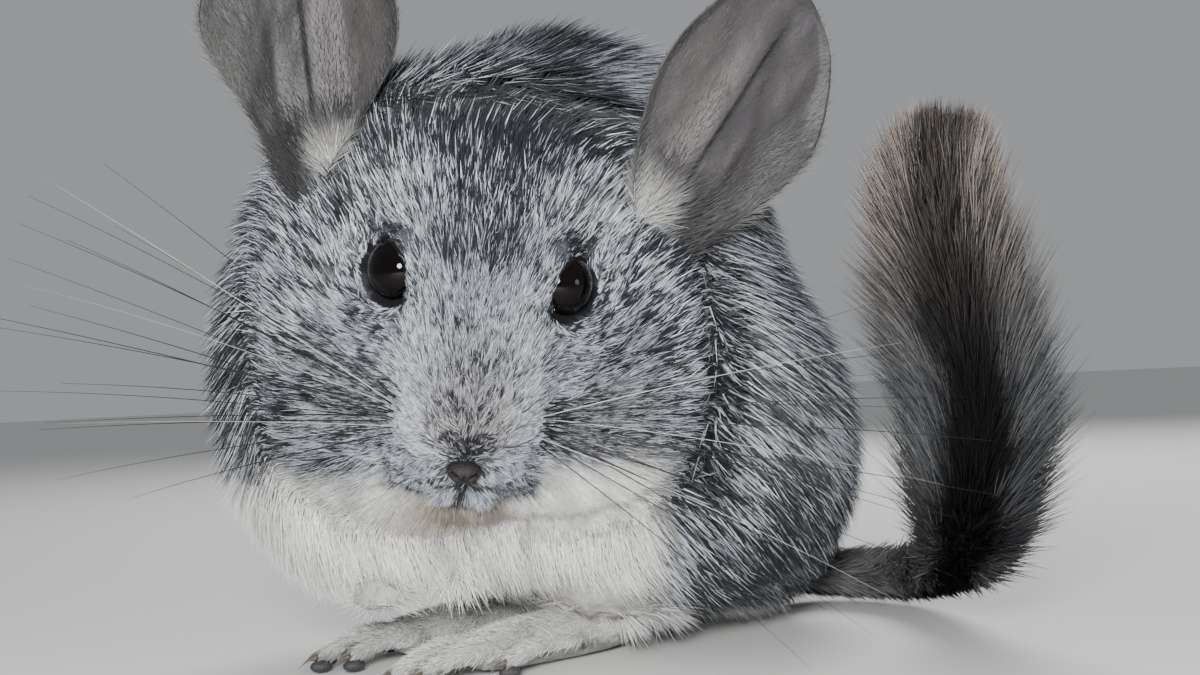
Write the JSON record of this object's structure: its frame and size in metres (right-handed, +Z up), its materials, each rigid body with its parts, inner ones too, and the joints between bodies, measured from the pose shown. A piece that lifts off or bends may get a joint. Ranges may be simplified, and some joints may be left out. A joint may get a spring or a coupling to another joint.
{
  "type": "chinchilla",
  "caption": "Life-size still model of a standard grey chinchilla sitting hunched on its hind feet, head turned to its left, bushy tail raised beside it.",
  "frame": {"origin": "on the floor, under the middle of the whole model's bounding box", "axes": "+Z up; the body faces -Y; the animal's left is +X; the head is turned to its left"},
  "size_m": [0.1578, 0.2068, 0.1594],
  "materials": {
    "coat": "matte",
    "face_coat": "matte",
    "pale_coat": "matte",
    "tail_coat": "matte",
    "ear_skin": "satin",
    "nose_skin": "satin",
    "eye": "gloss",
    "whisker": "satin",
    "claw": "satin"
  },
  "bodies": {
    "root": {"head": "face_coat", "lower_jaw": "pale_coat", "nose": "nose_skin", "eye_left": "eye", "eye_right": "eye", "ear_left": "ear_skin", "ear_right": "ear_skin", "whiskers_left": "whisker", "whiskers_right": "whisker", "neck": "coat", "torso": "coat", "haunch_left": "coat", "haunch_right": "coat", "hind_foot_left": "pale_coat", "hind_foot_right": "pale_coat", "foreleg_left": "coat", "foreleg_right": "coat", "tail_root": "tail_coat", "tail_bend": "tail_coat", "tail_brush": "tail_coat"}
  },
  "joints": []
}
